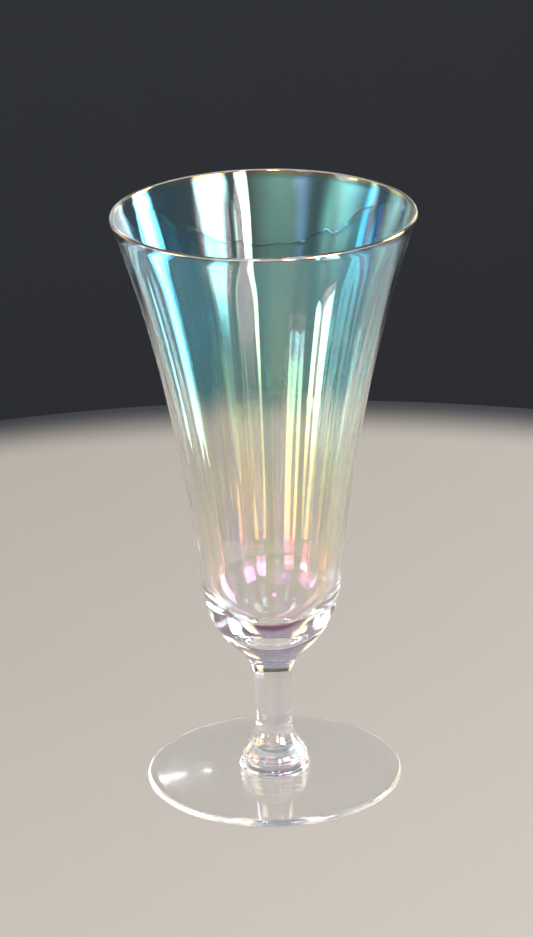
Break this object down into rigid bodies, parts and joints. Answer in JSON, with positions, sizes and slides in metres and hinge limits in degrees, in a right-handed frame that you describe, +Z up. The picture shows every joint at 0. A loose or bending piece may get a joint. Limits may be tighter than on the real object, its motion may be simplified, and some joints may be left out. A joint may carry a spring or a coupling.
{
  "type": "champagne flute",
  "caption": "Footed champagne flute: a flared lustre-glass bowl with optic panels inside, on a short solid stem with a bell knop, collar and disc foot.",
  "frame": {"origin": "middle of the circle that the foot stands on, in the plane of the table", "axes": "+Z up along the axis of the stem, towards the lip; the glass is the same all round, with a panel ridge on +X"},
  "size_m": [0.0826, 0.0826, 0.165],
  "materials": {
    "lustre_glass": "fire-polished blown glass with a thin iridescent metal-oxide lustre inside and out",
    "stem_glass": "fire-polished solid glass with a light iridescent lustre",
    "foot_glass": "fire-polished clear glass with a faint lustre at the rounded edge"
  },
  "bodies": {
    "root": {"bowl": "lustre_glass", "stem": "stem_glass", "knop": "stem_glass", "collar": "stem_glass", "foot": "foot_glass"}
  },
  "joints": []
}
